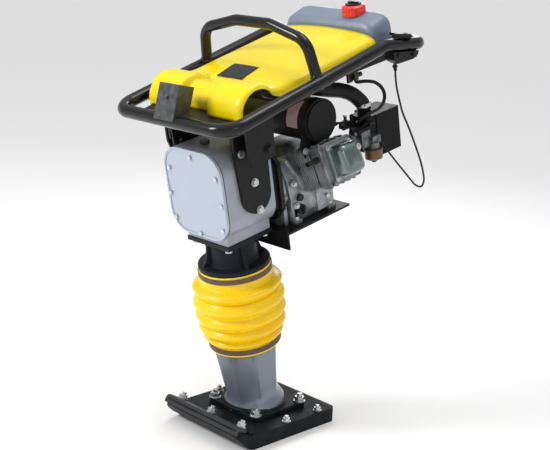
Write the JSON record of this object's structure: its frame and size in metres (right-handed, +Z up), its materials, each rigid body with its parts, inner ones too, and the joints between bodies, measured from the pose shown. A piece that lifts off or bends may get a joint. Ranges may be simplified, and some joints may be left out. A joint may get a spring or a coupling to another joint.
{
  "type": "jumping jack rammer",
  "caption": "Upright tamping rammer: leaning sprung leg with shoe and bellows, gearbox, four-stroke engine and rubber-mounted tube handle with hood and fuel tank.",
  "frame": {"origin": "centre of the sole on the ground", "axes": "+Z up, +Y towards the operator's handle, gearbox cover facing -Y"},
  "size_m": [0.4494, 0.7141, 1.0803],
  "materials": {
    "shoe_black": "moulded, scuffed",
    "sole_steel": "worn black paint on steel",
    "bar_black": "satin black",
    "zinc": "zinc plated",
    "leg_grey": "blue-grey enamel on a casting",
    "steel": "ground",
    "spring_steel": "oiled",
    "band": "dark band",
    "guide_slate": "black enamel on a casting",
    "bellows_yellow": "smooth polyurethane",
    "gear_case": "painted casting",
    "gasket": "matte",
    "cover_grey": "satin light grey",
    "screw_dark": "black oxide",
    "bracket_black": "satin black",
    "gear_steel": "machined",
    "engine_cast": "sand cast",
    "valve_steel": "pressed, polished",
    "boot_rubber": "moulded boot",
    "cap_black": "moulded",
    "muffler_black": "heat-proof matte black",
    "heat_band": "pale printed band",
    "carb_metal": "die cast",
    "airbox_black": "moulded",
    "hose_black": "smooth",
    "switch_black": "moulded",
    "tube_black": "gloss black powder coat",
    "rubber": "matte",
    "galvanised": "galvanised",
    "hood_yellow": "gloss moulded",
    "tank_blue_grey": "blow moulded",
    "cap_red": "gloss",
    "cock_metal": "dark, oxidised"
  },
  "bodies": {
    "foot": {"shoe_core": "shoe_black", "sole_plate": "sole_steel", "toe_bar": "bar_black", "toe_bolts": "zinc", "edge_bolts": "zinc", "leg_casting": "leg_grey", "flange_studs": "zinc", "spring_cylinder": "steel", "lower_spring": "spring_steel", "upper_spring": "spring_steel", "spring_cap": "steel", "lower_clamp": "band"},
    "upper": {"guide_cylinder": "guide_slate", "guide_bolts": "zinc", "bellows": "bellows_yellow", "upper_clamp": "band", "gearbox_housing": "gear_case", "gearbox_gasket": "gasket", "gearbox_cover": "cover_grey", "cover_screws": "zinc", "breather_plug": "screw_dark", "side_brackets": "bracket_black", "bracket_bolts": "zinc", "clutch_housing": "bracket_black", "engine_deck": "bracket_black", "crankcase": "engine_cast", "crankcase_cover": "engine_cast", "cylinder_block": "engine_cast", "valve_cover": "valve_steel", "spark_plug": "boot_rubber", "oil_caps": "cap_black", "muffler": "muffler_black", "muffler_band": "heat_band", "carburettor": "carb_metal", "air_box": "airbox_black", "intake_hose": "hose_black", "fuel_hose": "hose_black", "recoil_cover": "airbox_black"},
    "handle": {"left_rail": "tube_black", "right_rail": "tube_black", "front_bumper": "tube_black", "rear_handle": "tube_black", "lifting_hoop": "tube_black", "mount_yoke": "bracket_black", "rubber_mounts": "rubber", "front_bracket": "galvanised", "hood": "hood_yellow", "fuel_tank": "tank_blue_grey", "fuel_cock": "cock_metal", "throttle_cable": "hose_black"},
    "piston": {"piston_rod": "steel"},
    "conrod": {"conrod": "steel"},
    "crank": {"crank_gear": "gear_steel"},
    "pinion": {"drive_pinion": "gear_steel"},
    "engine_shaft": {"engine_shaft": "gear_steel"},
    "choke": {"choke_lever": "cap_black"},
    "starter_grip": {"recoil_grip": "cap_black"},
    "switch": {"stop_switch": "switch_black"},
    "cap": {"tank_cap": "cap_red"},
    "throttle": {"throttle_lever": "cap_black"}
  },
  "joints": [
    {"name": "leg_stroke", "type": "slide", "parent": "foot", "child": "upper", "axis": [0, -0.2164, 0.9763], "range_m": [-0.03, 0.04], "stiffness_N_per_m": 30000, "springref_m": 0.0172, "deforming": ["bellows", "lower_spring", "upper_spring"]},
    {"name": "handle_rock", "type": "hinge", "parent": "upper", "child": "handle", "pos_m": [0, -0.11574, 0.75293], "axis": [1, 0, 0], "range_deg": [-3, 3], "stiffness_Nm_per_rad": 2500, "deforming": ["intake_hose", "fuel_hose", "throttle_cable"]},
    {"name": "piston_stroke", "type": "slide", "parent": "upper", "child": "piston", "axis": [0, -0.2164, 0.9763], "range_m": [0, 0.06], "stiffness_N_per_m": 4000, "springref_m": 0.008, "deforming": ["upper_spring", "lower_spring"]},
    {"name": "conrod_swing", "type": "hinge", "parent": "piston", "child": "conrod", "pos_m": [0, -0.1, 0.55258], "axis": [0, 0.9763, 0.2164], "range_deg": [-19, 19]},
    {"name": "crank_spin", "type": "hinge", "parent": "upper", "child": "crank", "pos_m": [0, -0.12641, 0.67169], "axis": [0, 0.9763, 0.2164], "continuous": true},
    {"name": "pinion_spin", "type": "hinge", "parent": "upper", "child": "pinion", "pos_m": [0, -0.11083, 0.6014], "axis": [0, 0.9763, 0.2164], "continuous": true},
    {"name": "engine_spin", "type": "hinge", "parent": "upper", "child": "engine_shaft", "pos_m": [0, -0.11083, 0.6014], "axis": [0, 0.9763, 0.2164], "continuous": true},
    {"name": "choke_turn", "type": "hinge", "parent": "upper", "child": "choke", "pos_m": [0.148, 0.18537, 0.77154], "axis": [0, -0.2164, 0.9763], "range_deg": [-60, 0]},
    {"name": "starter_pull", "type": "slide", "parent": "upper", "child": "starter_grip", "axis": [1, 0, 0], "range_m": [0, 0.5], "stiffness_N_per_m": 30, "springref_m": -0.01},
    {"name": "switch_press", "type": "slide", "parent": "upper", "child": "switch", "axis": [-1, 0, 0], "range_m": [0, 0.004], "stiffness_N_per_m": 900},
    {"name": "cap_lift", "type": "slide", "parent": "handle", "child": "cap", "axis": [0, -0.2164, 0.9763], "range_m": [0, 0.06]},
    {"name": "throttle_turn", "type": "hinge", "parent": "handle", "child": "throttle", "pos_m": [0.203, 0.27754, 0.98413], "axis": [0, -0.0208, 0.9998], "range_deg": [0, 60]}
  ],
  "couplings": [
    {"joint": "pinion_spin", "follows": "crank_spin", "ratio": -5}
  ]
}
